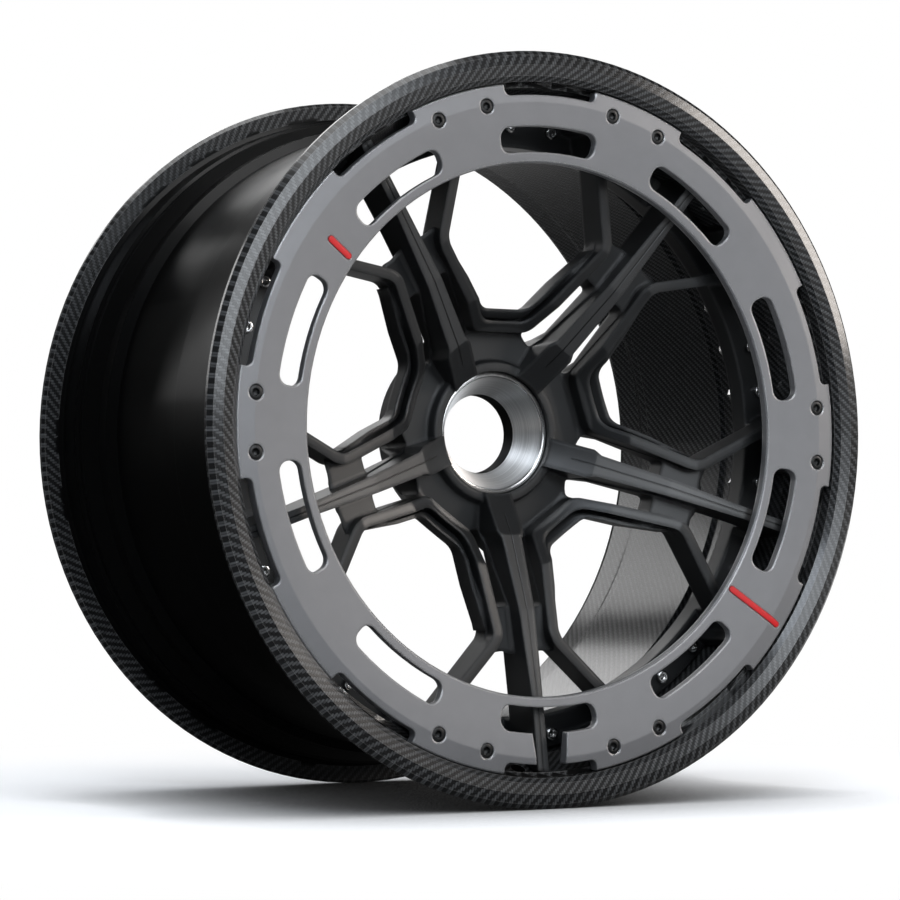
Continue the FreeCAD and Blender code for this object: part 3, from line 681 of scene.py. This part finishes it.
@dataclass(frozen=True, kw_only=True)
class BlastedFinish(Finish):
    """Fine blasted and anodised metal, with a painted highlight on its rounded edges."""

    # colour and share of a painted highlight on rounded edges
    edge_highlight_colour: Colour
    edge_highlight_share: float = 0.8
    edge_polish: float = -0.12
    grain_scale: float
    grain_depth: float = 0.03 * MM
    grain_bump: float = 0.5
    dark_patch: float = 0.93
    light_patch: float = 1.07
    smears: float = 0.06

    def paint(self, effects: Effects) -> bpy.types.Material:
        """Makes the material from grain, handling marks and rounded edges.

        Args:
            effects: the shared node groups.

        Returns:
            The finished material.
        """
        material, graph, shader = self.start()
        place = graph.place()
        rounded = effects.use(graph, Effect.ROUNDED, Radius=self.edge_radius).outputs
        grain = effects.use(graph, Effect.GRAIN, Vector=place, Scale=self.grain_scale).outputs
        marks = effects.use(graph, Effect.HANDLING, Vector=place, Amount=self.smears).outputs
        dark, light = toned(self.colour, self.dark_patch), toned(self.colour, self.light_patch)
        body = graph.blend(grain["Tone"], dark, light)
        # painted highlight: the rounded edges are much lighter, and the same mask makes them more metallic
        # and smoother
        edge_highlight = graph.product(rounded["Edge"], self.edge_highlight_share)
        graph.feed(shader.inputs["Base Color"], graph.blend(edge_highlight, body, self.edge_highlight_colour))
        graph.feed(shader.inputs["Metallic"], graph.math("MAXIMUM", edge_highlight, self.metallic))
        satin = graph.math("MULTIPLY_ADD", edge_highlight, self.edge_polish, self.roughness)
        graph.feed(shader.inputs["Roughness"], graph.math("ADD", satin, marks["Mask"]))
        normal = graph.bump(grain["Height"], self.grain_bump, self.grain_depth, rounded["Normal"])
        graph.feed(shader.inputs["Normal"], normal)
        return material


@dataclass(frozen=True, kw_only=True)
class TurnedFinish(Finish):
    """Bright metal with the fine rings of a lathe, a polished rim and a dark bore."""

    rings: float = 5200.0
    ring_depth: float = 0.012 * MM
    ring_bump: float = 0.5
    ring_roughness: float = 0.08
    dark_ring: float = 0.8
    light_ring: float = 1.05
    rim: float = 43.2 * MM
    rim_fade: float = 0.2 * MM
    rim_polish: float = -0.22
    bore: float = 30.9 * MM
    bore_colour: Colour = grey(0.03)
    brushed: float = 0.95
    brush_turn: float = 0.25

    def paint(self, effects: Effects) -> bpy.types.Material:
        """Makes the material from the lathe rings, with highlights drawn out across them.

        Args:
            effects: the shared node groups.

        Returns:
            The finished material.
        """
        material, graph, shader = self.start()
        radius, turn, ahead = effects.use(graph, Effect.POLAR, Vector=graph.place()).outputs
        lines = effects.use(
            graph, Effect.TURNED, Radius=radius, Ahead=ahead, Turn=turn, Rings=self.rings).outputs
        dark, light = toned(self.colour, self.dark_ring), toned(self.colour, self.light_ring)
        body = graph.blend(lines["Tone"], dark, light)
        in_bore = graph.math("LESS_THAN", radius, self.bore)
        graph.feed(shader.inputs["Base Color"], graph.blend(in_bore, body, self.bore_colour))
        rough = graph.math("MULTIPLY_ADD", lines["Tone"], self.ring_roughness, self.roughness)
        polish = graph.span(radius, self.rim - self.rim_fade, self.rim, 0.0, self.rim_polish)
        graph.feed(shader.inputs["Roughness"], graph.math("ADD", rough, polish))
        normal = graph.bump(lines["Height"], self.ring_bump, self.ring_depth)
        graph.feed(shader.inputs["Normal"], normal)
        shader.inputs["Anisotropic"].default_value = self.brushed
        shader.inputs["Anisotropic Rotation"].default_value = self.brush_turn
        around = graph.node("Tangent", direction_type="RADIAL", axis="Y")
        graph.feed(shader.inputs["Tangent"], around.outputs[0])
        return material


@dataclass(frozen=True, kw_only=True)
class LacquerFinish(Finish):
    """Gloss lacquer with a faint ripple."""

    deep_share: float = 0.75
    ripple_scale: float = 260.0
    ripple_depth: float = 0.1 * MM
    ripple_bump: float = 0.25
    smears: float = 0.08

    def paint(self, effects: Effects) -> bpy.types.Material:
        """Makes the material from ripple and handling marks.

        Args:
            effects: the shared node groups.

        Returns:
            The finished material.
        """
        material, graph, shader = self.start()
        place = graph.place()
        rounded = effects.use(graph, Effect.ROUNDED, Radius=self.edge_radius).outputs
        grain = effects.use(graph, Effect.GRAIN, Vector=place, Scale=self.ripple_scale).outputs
        marks = effects.use(graph, Effect.HANDLING, Vector=place, Amount=self.smears).outputs
        deep = toned(self.colour, self.deep_share)
        graph.feed(shader.inputs["Base Color"], graph.blend(grain["Tone"], deep, self.colour))
        graph.feed(shader.inputs["Roughness"], graph.math("ADD", marks["Mask"], self.roughness))
        normal = graph.bump(grain["Height"], self.ripple_bump, self.ripple_depth, rounded["Normal"])
        graph.feed(shader.inputs["Normal"], normal)
        return material


FINISHES: tuple[Finish, ...] = (
    CarbonFinish(name="carbon_twill", slot="carbon_barrel", colour=grey(0.002), roughness=0.32,
                 coat=1.0, coat_roughness=0.16, edge_radius=0.9 * MM),
    ForgedFinish(name="forged_charcoal", slot="forged_centre", colour=grey(0.009, -0.05),
                 roughness=0.34, edge_radius=4.0 * MM),
    BlastedFinish(name="ring_anodised", slot="ring_metal", colour=(0.170, 0.170, 0.175, 1.0),
                  roughness=0.45, metallic=0.5, edge_radius=2.2 * MM, edge_highlight_colour=grey(0.8),
                  edge_highlight_share=1.0, grain_scale=3200.0),
    TurnedFinish(name="turned_bright", slot="turned_metal", colour=grey(0.86), roughness=0.46,
                 metallic=1.0),
    BlastedFinish(name="black_oxide", slot="black_screw", colour=grey(0.012), roughness=0.36,
                  metallic=0.4, edge_radius=0.35 * MM, edge_highlight_colour=grey(0.12), grain_scale=5200.0),
    BlastedFinish(name="bright_steel", slot="bright_bolt", colour=grey(0.72), roughness=0.16,
                  metallic=1.0, edge_radius=0.4 * MM, edge_highlight_colour=grey(0.8), grain_scale=4800.0),
    LacquerFinish(name="red_lacquer", slot="red_key", colour=(0.52, 0.003, 0.006, 1.0),
                  roughness=0.30, edge_radius=2.2 * MM),
)


class Outline(Enum):
    """Plan of one ring of points on a turned piece."""

    ROUND = "round"
    HEX = "hex"


@dataclass(frozen=True)
class Ring:
    """One ring of points, in millimetres: half its width, how far ahead it lies, and its plan."""

    half: float
    ahead: float
    plan: Outline = Outline.ROUND

    def points(self, count: int) -> list[Vector]:
        """Points of the ring about the Y axis.

        Args:
            count: number of points, a multiple of six.

        Returns:
            The points in order, in metres.
        """
        sixth = math.tau / 6
        made = []
        for step in range(count):
            angle = math.tau * step / count
            reach = self.half * MM
            if self.plan is Outline.HEX:
                reach /= math.cos((angle + sixth / 2) % sixth - sixth / 2)
            made.append(Vector((reach * math.cos(angle), -self.ahead * MM, reach * math.sin(angle))))
        return made


@dataclass(kw_only=True)
class Piece:
    """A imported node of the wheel, with the slot of its finish."""

    node: str
    slot: str

    def dress(self, materials: Materials) -> None:
        """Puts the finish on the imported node.

        Args:
            materials: material of each slot.
        """
        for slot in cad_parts[self.node].material_slots:
            slot.material = materials[self.slot]
        LOG.info("%s wears %s", self.node, self.slot)

    def build(self, materials: Materials) -> None:
        """Builds nothing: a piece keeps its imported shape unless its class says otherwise."""


@dataclass(kw_only=True)
class Barrel(Piece):
    """Carbon barrel with its lips, bead seats and drop well."""

    node: str = "barrel"
    slot: str = "carbon_barrel"


@dataclass(kw_only=True)
class SpokeCentre(Piece):
    """Forged centre with its ribs, arms, hub and hoop."""

    node: str = "spoke_centre"
    slot: str = "forged_centre"


@dataclass(kw_only=True)
class FaceRing(Piece):
    """Machined ring screwed to the arm ends."""

    node: str = "face_ring"
    slot: str = "ring_metal"


@dataclass(kw_only=True)
class RedKey(Piece):
    """Red inlay in a pocket of the ring."""

    slot: str = "red_key"


@dataclass(kw_only=True)
class FlangeNuts(Piece):
    """Nuts behind the barrel's flange."""

    node: str = "flange_nuts"
    slot: str = "bright_bolt"


@dataclass(kw_only=True)
class TurnedPieces(Piece):
    """Equal turned pieces set round the wheel, with the edges, sockets and ends that real ones have.

    The circle they stand on is in millimetres, and the socket's turn is per degree round the wheel.
    """

    name: str
    circle: float = 0.0
    steps: int = 36
    sharp_angle: float = 32.0
    hollow: bool = False
    socket_turn: float = 37.0

    def angles(self) -> list[float]:
        """Places round the wheel, in degrees."""
        return [0.0]

    def profile(self) -> list[Ring]:
        """Rings of one piece, in order along its surface."""
        raise NotImplementedError

    def build(self, materials: Materials) -> None:
        """Builds the group as one mesh that stands for its CAD node.

        Args:
            materials: material of each slot.
        """
        mesh = bpy.data.meshes.new(self.name)
        form = bmesh.new()
        for angle in self.angles():
            self._add(form, angle)
        bmesh.ops.recalc_face_normals(form, faces=form.faces)
        form.to_mesh(mesh)
        form.free()
        mesh.shade_smooth()
        mesh.set_sharp_from_angle(angle=math.radians(self.sharp_angle))
        mesh.materials.append(materials[self.slot])
        piece = bpy.data.objects.new(self.name, mesh)
        bpy.context.scene.collection.objects.link(piece)
        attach(piece, "root")
        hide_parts(self.node)
        LOG.info("%s: %d faces", piece.name, len(mesh.polygons))

    def _add(self, form: bmesh.types.BMesh, angle: float) -> None:
        """Adds one piece at an angle round the wheel.

        Args:
            form: mesh to add to.
            angle: place round the wheel, in degrees.
        """
        turn = Matrix.Rotation(-math.radians(angle), 4, "Y") @ Matrix.Translation((self.circle * MM, 0, 0))
        turn = turn @ Matrix.Rotation(math.radians(self.socket_turn * angle), 4, "Y")
        loops = []
        for ring in self.profile():
            loops.append([form.verts.new(turn @ point) for point in ring.points(self.steps)])
        if not self.hollow:
            form.faces.new(loops[0])
            form.faces.new(loops[-1])
        nexts = loops[1:] + loops[:1] if self.hollow else loops[1:]
        for low, high in zip(loops, nexts):
            for step in range(self.steps):
                after = (step + 1) % self.steps
                form.faces.new((low[step], low[after], high[after], high[step]))


@dataclass(kw_only=True)
class SocketFasteners(TurnedPieces):
    """Fasteners with a chamfered shank, a rounded head and a hexagon socket, in millimetres.

    The crown lists the head's rings from its side to the socket's mouth, each by its half width and
    its depth below the top.
    """

    end: float
    seat: float
    top: float
    shank: float
    lead_width: float = 0.6
    lead_length: float = 0.8
    head: float
    foot_width: float
    foot_length: float
    crown: tuple[tuple[float, float], ...]
    socket: float
    socket_mouth: float
    socket_depth: float
    drill_depth: float
    drill_tip: float = 0.3

    def profile(self) -> list[Ring]:
        """Rings from the shank's end, over the head, to the socket's floor.

        Returns:
            The rings.
        """
        shank = [Ring(self.shank - self.lead_width, self.end), Ring(self.shank, self.end + self.lead_length),
                 Ring(self.shank, self.seat)]
        foot = [Ring(self.head - self.foot_width, self.seat), Ring(self.head, self.seat + self.foot_length)]
        crown = [Ring(half, self.top - depth) for half, depth in self.crown]
        socket = [Ring(self.socket, self.top - self.socket_mouth, Outline.HEX),
                  Ring(self.socket, self.top - self.socket_depth, Outline.HEX),
                  Ring(self.drill_tip, self.top - self.drill_depth)]
        return shank + foot + crown + socket


@dataclass(kw_only=True)
class RingScrews(SocketFasteners):
    """Socket-head screws of the face ring, in pairs."""

    name: str = "ring_screw_set"
    node: str = "ring_screws"
    slot: str = "black_screw"
    circle: float = 245.5
    lands: tuple[float, ...] = (0, 72, 108, 180, 252, 288)
    pair_half: float = 5.0
    end: float = 134.0
    seat: float = 152.0
    top: float = 157.0
    shank: float = 3.0
    head: float = 5.5
    foot_width: float = 0.3
    foot_length: float = 0.3
    crown: tuple[tuple[float, float], ...] = ((5.5, 0.9), (5.2, 0.3), (4.6, 0.0), (3.05, 0.0))
    socket: float = 2.5
    socket_mouth: float = 0.5
    socket_depth: float = 3.0
    drill_depth: float = 3.8

    def angles(self) -> list[float]:
        """Places round the wheel, in degrees: two on each land."""
        return [land + side * self.pair_half for land in self.lands for side in (-1, 1)]


@dataclass(kw_only=True)
class FlangeBolts(SocketFasteners):
    """Low-headed bolts that clamp the centre's hoop to the barrel's flange."""

    name: str = "flange_bolt_set"
    node: str = "flange_bolts"
    slot: str = "bright_bolt"
    circle: float = 235.0
    windows: int = 5
    first_window: float = 18
    window_pitch: float = 72
    offsets: tuple[float, ...] = (-9, 0, 9, 27, 45)
    end: float = 57.0
    seat: float = 95.0
    top: float = 98.6
    shank: float = 3.5
    head: float = 5.2
    foot_width: float = 0.2
    foot_length: float = 0.25
    crown: tuple[tuple[float, float], ...] = ((5.2, 1.5), (4.9, 0.6), (4.2, 0.1), (3.6, 0.0), (2.7, 0.05))
    socket: float = 2.2
    socket_mouth: float = 0.6
    socket_depth: float = 2.4
    drill_depth: float = 2.9

    def angles(self) -> list[float]:
        """Places round the wheel, in degrees: the same offsets in each window."""
        starts = [self.first_window + self.window_pitch * window for window in range(self.windows)]
        return [start + offset for start in starts for offset in self.offsets]


@dataclass(kw_only=True)
class HubInsert(TurnedPieces):
    """Insert for the central nut: a rounded rim with a fine groove, a long cone and a plain bore.

    The lip lists the rim's rings from the cone to the outside, each by its half width and its depth
    below the top, in millimetres.
    """

    name: str = "hub_insert_turned"
    node: str = "hub_insert"
    slot: str = "turned_metal"
    steps: int = 144
    sharp_angle: float = 24.0
    hollow: bool = True
    back: float = 34.0
    foot: float = 47.0
    foot_half: float = 0.4
    seat: float = 61.0
    top: float = 71.5
    bore: float = 30.5
    cone_start: float = 30.7
    spigot: float = 39.7
    rim: float = 47.5
    lip: tuple[tuple[float, float], ...] = (
        (43.0, 1.7), (43.5, 0.7), (44.1, 0.15), (44.8, 0.0), (44.95, 0.5), (45.25, 0.5), (45.4, 0.0),
        (46.1, 0.1), (46.8, 0.45), (47.25, 1.0), (47.5, 1.8))

    def profile(self) -> list[Ring]:
        """Rings from the back of the bore, over the rim, to the back of the spigot.

        Returns:
            The rings.
        """
        bore = [Ring(self.bore, self.back), Ring(self.bore, self.foot - self.foot_half),
                Ring(self.cone_start, self.foot + self.foot_half)]
        lip = [Ring(half, self.top - depth) for half, depth in self.lip]
        outside = [Ring(self.rim, self.seat), Ring(self.spigot, self.seat), Ring(self.spigot, self.back)]
        return bore + lip + outside


WHEEL: tuple[Piece, ...] = (
    Barrel(), SpokeCentre(), FaceRing(), FlangeNuts(), RedKey(node="short_key"), RedKey(node="long_key"),
    RingScrews(), FlangeBolts(), HubInsert(),
)


@dataclass(frozen=True)
class SoftBox:
    """A square soft box that looks at the wheel: place in metres, power in watts."""

    name: str
    place: Point
    width: float
    power: float
    colour: Light = (1.0, 1.0, 1.0)

    def build(self) -> None:
        """Adds the lamp, turned towards the wheel."""
        lamp = bpy.data.lights.new(self.name, "AREA")
        lamp.energy = self.power
        lamp.size = self.width
        lamp.color = self.colour
        box = bpy.data.objects.new(self.name, lamp)
        box.location = self.place
        box.rotation_euler = (-Vector(self.place)).to_track_quat("-Z", "Y").to_euler()
        bpy.context.scene.collection.objects.link(box)


@dataclass
class Studio:
    """Pale floor with painted shade near the wheel, soft boxes, dark sheets and a glowing cloth seen only in
    reflections as painted reflections, and a white background.
    """

    boxes: tuple[SoftBox, ...] = (
        SoftBox("box_above", (-0.4, 0.0, 2.3), 1.6, 25.0),
        SoftBox("box_left", (-1.4, -2.0, 1.7), 1.1, 26.0, (0.84, 0.91, 1.0)),
        SoftBox("box_front", (0.3, -2.8, 0.9), 1.4, 34.0, (0.90, 0.95, 1.0)),
        SoftBox("box_right", (2.2, -1.6, 0.9), 1.0, 36.0, (1.0, 0.93, 0.87)),
        SoftBox("box_behind", (0.5, 2.3, 1.3), 0.9, 5.5),
        SoftBox("box_behind_left", (-0.8, 2.3, 0.8), 1.0, 7.0),
    )
    floor_level: float = -0.284
    floor_size: float = 40.0
    floor_tone: float = 0.86
    floor_roughness: float = 0.9
    floor_lift: float = 0.22
    # reach, strength and samples of the floor's painted shade
    painted_shade_reach: float = 0.16
    painted_shade_depth: float = 1.6
    painted_shade_samples: int = 4
    shadow_reach: float = 0.34
    shadow_fade: float = 0.4
    drum_radius: float = 6.0
    drum_top: float = 5.0
    drum_sides: int = 48
    drum_glow: float = 0.01
    cloth_lift: float = 1 * MM
    cloth_left: float = -0.2
    cloth_right: float = 1.6
    cloth_glow: float = 0.55
    flag_lift: float = 2 * MM
    flag_side: float = -0.32
    flag_start: float = 0.17
    flag_end: float = 1.0
    flag_top: float = 0.7
    dome: Colour = (0.80, 0.88, 1.0, 1.0)
    dome_strength: float = 0.35

    def build(self) -> None:
        """Builds floor, dark sheets, background and lights."""
        self._floor()
        self._sheets()
        self._world()
        for box in self.boxes:
            box.build()

    @staticmethod
    def _mesh(
        name: str, corners: list[Point], faces: list[tuple], material: bpy.types.Material
    ) -> bpy.types.Object:
        """Adds a plain studio mesh.

        Args:
            name: its name.
            corners: its points.
            faces: its faces by point.
            material: its material.

        Returns:
            The object.
        """
        mesh = bpy.data.meshes.new(name)
        mesh.from_pydata(corners, [], faces)
        mesh.materials.append(material)
        made = bpy.data.objects.new(name, mesh)
        bpy.context.scene.collection.objects.link(made)
        return made

    @staticmethod
    def _seen(graph: Graph) -> bpy.types.NodeSocket:
        """Tells the rays that should see the pale background.

        Args:
            graph: the material's or the world's graph.

        Returns:
            One for rays from the camera, from mirrors and through glass.
        """
        rays = graph.node("LightPath").outputs
        seen = graph.math("MAXIMUM", rays["Is Camera Ray"], rays["Is Glossy Ray"])
        return graph.math("MAXIMUM", seen, rays["Is Transmission Ray"])

    @staticmethod
    def _either(
        graph: Graph, factor: object, first: bpy.types.Node, second: bpy.types.Node
    ) -> bpy.types.Node:
        """Mixes two shaders.

        Args:
            graph: the graph they are in.
            factor: share of the second one.
            first: node of the first shader.
            second: node of the second shader.

        Returns:
            The Mix Shader node.
        """
        made = graph.node("MixShader")
        for target, value in zip(made.inputs, (factor, first.outputs[0], second.outputs[0])):
            graph.feed(target, value)
        return made

    def _floor(self) -> None:
        """Pale floor that takes the shadow near the wheel, darkened further there by painted shade from an
        occlusion lookup, and is white further off.
        """
        material = bpy.data.materials.new("studio_floor")
        material.use_nodes = True
        graph = Graph(material.node_tree)
        shader = material.node_tree.nodes["Principled BSDF"]
        shader.inputs["Roughness"].default_value = self.floor_roughness
        shader.inputs["Specular IOR Level"].default_value = 0.0
        # painted shade: an occlusion lookup darkens the floor's colour and its added glow where the wheel is
        # close
        occlusion = graph.node("AmbientOcclusion", samples=self.painted_shade_samples)
        occlusion.inputs["Distance"].default_value = self.painted_shade_reach
        shade = graph.math("POWER", occlusion.outputs["AO"], self.painted_shade_depth)
        graph.feed(shader.inputs["Base Color"], graph.blend(shade, grey(0.0), grey(self.floor_tone)))
        lift = graph.node("Emission")
        graph.feed(lift.inputs["Strength"], graph.product(shade, self.floor_lift))
        lifted = graph.node("AddShader")
        graph.feed(lifted.inputs[0], shader.outputs[0])
        graph.feed(lifted.inputs[1], lift.outputs[0])
        distance = graph.vectors("LENGTH", graph.place()).outputs["Value"]
        far = graph.span(distance, self.shadow_reach, self.shadow_reach + self.shadow_fade)
        near = self._either(graph, far, lifted, graph.node("Emission"))
        shown = self._either(graph, self._seen(graph), shader, near)
        graph.feed(material.node_tree.nodes["Material Output"].inputs["Surface"], shown.outputs[0])
        half = self.floor_size / 2
        corners = [(-half, -half, 0), (half, -half, 0), (half, half, 0), (-half, half, 0)]
        floor = self._mesh("floor", corners, [(0, 1, 2, 3)], material)
        floor.location.z = self.floor_level

    def _sheets(self) -> None:
        """Dark drum, a flag beside the wheel and a floor cloth that glows more to the right: painted
        reflections, seen by mirror rays alone.
        """
        dark = self._dark("studio_drum")
        count = self.drum_sides
        low, high, sides = [], [], []
        for step in range(count):
            angle = math.tau * step / count
            x, y = self.drum_radius * math.cos(angle), self.drum_radius * math.sin(angle)
            low.append((x, y, self.floor_level + self.cloth_lift))
            high.append((x, y, self.drum_top))
            after = (step + 1) % count
            sides.append((step, after, count + after, count + step))
        side, near, far = self.flag_side, self.flag_start, self.flag_end
        foot, head = self.floor_level + self.flag_lift, self.flag_top
        flag = [(side, near, foot), (side, far, foot), (side, far, head), (side, near, head)]
        pieces = [self._mesh("flag", flag, [(0, 1, 2, 3)], dark),
                  self._mesh("drum", low + high, sides + [tuple(range(count, 2 * count))], dark),
                  self._mesh("cloth", low, [tuple(range(count))], self._cloth())]
        for piece in pieces:
            piece.visible_camera = False
            piece.visible_diffuse = False
            piece.visible_transmission = False
            piece.visible_shadow = False

    def _dark(self, name: str) -> bpy.types.Material:
        """A plain dark material with an even faint glow.

        Args:
            name: its name.

        Returns:
            The material.
        """
        material = bpy.data.materials.new(name)
        material.use_nodes = True
        shader = material.node_tree.nodes["Principled BSDF"]
        shader.inputs["Base Color"].default_value = grey(0.0)
        shader.inputs["Specular IOR Level"].default_value = 0.0
        shader.inputs["Emission Color"].default_value = grey(1.0)
        shader.inputs["Emission Strength"].default_value = self.drum_glow
        return material

    def _cloth(self) -> bpy.types.Material:
        """The dark material with a glow that grows to the right.

        Returns:
            The material.
        """
        material = self._dark("studio_cloth")
        graph = Graph(material.node_tree)
        across, _, _ = graph.split(graph.place())
        glow = graph.span(across, self.cloth_left, self.cloth_right, self.drum_glow, self.cloth_glow)
        graph.feed(material.node_tree.nodes["Principled BSDF"].inputs["Emission Strength"], glow)
        return material

    def _world(self) -> None:
        """Soft dome that lights the wheel, and a white background."""
        world = bpy.data.worlds.new("studio")
        bpy.context.scene.world = world
        world.use_nodes = True
        graph = Graph(world.node_tree)
        dome = world.node_tree.nodes["Background"]
        dome.inputs["Color"].default_value = self.dome
        dome.inputs["Strength"].default_value = self.dome_strength
        white = graph.node("Background")
        white.inputs["Color"].default_value = grey(1.0)
        white.inputs["Strength"].default_value = 1.0
        shown = self._either(graph, self._seen(graph), dome, white)
        graph.feed(world.node_tree.nodes["World Output"].inputs["Surface"], shown.outputs[0])


@dataclass(frozen=True)
class Viewpoint:
    """Camera of the photograph, in the wheel's frame."""

    place: Point = (-1.20787, -2.16928, -0.09654)
    forward: Point = (0.48652, 0.87299, 0.03437)
    focal_pixels: float = 3130.12
    frame_pixels: float = 900.0
    sensor: float = 36.0
    far_clip: float = 100.0

    def build(self) -> None:
        """Adds the camera and makes it the scene's own."""
        data = bpy.data.cameras.new("viewpoint")
        data.sensor_fit = "HORIZONTAL"
        data.sensor_width = self.sensor
        data.lens = self.focal_pixels / self.frame_pixels * self.sensor
        data.clip_end = self.far_clip
        camera = bpy.data.objects.new("viewpoint", data)
        ahead = Vector(self.forward).normalized()
        right = ahead.cross(Vector((0, 0, 1))).normalized()
        up = right.cross(ahead)
        turn = Matrix((right, up, -ahead)).transposed().to_4x4()
        camera.matrix_world = Matrix.Translation(self.place) @ turn
        bpy.context.scene.collection.objects.link(camera)
        bpy.context.scene.camera = camera


def main() -> None:
    """Dresses and builds the wheel's pieces, then studio and camera."""
    logging.basicConfig(level=logging.INFO, format="%(message)s")
    bpy.context.scene.view_settings.view_transform = "Standard"
    effects = Effects()
    materials = {finish.slot: finish.paint(effects) for finish in FINISHES}
    for piece in WHEEL:
        piece.dress(materials)
        piece.build(materials)
    Studio().build()
    Viewpoint().build()


if __name__ == "__main__":
    main()
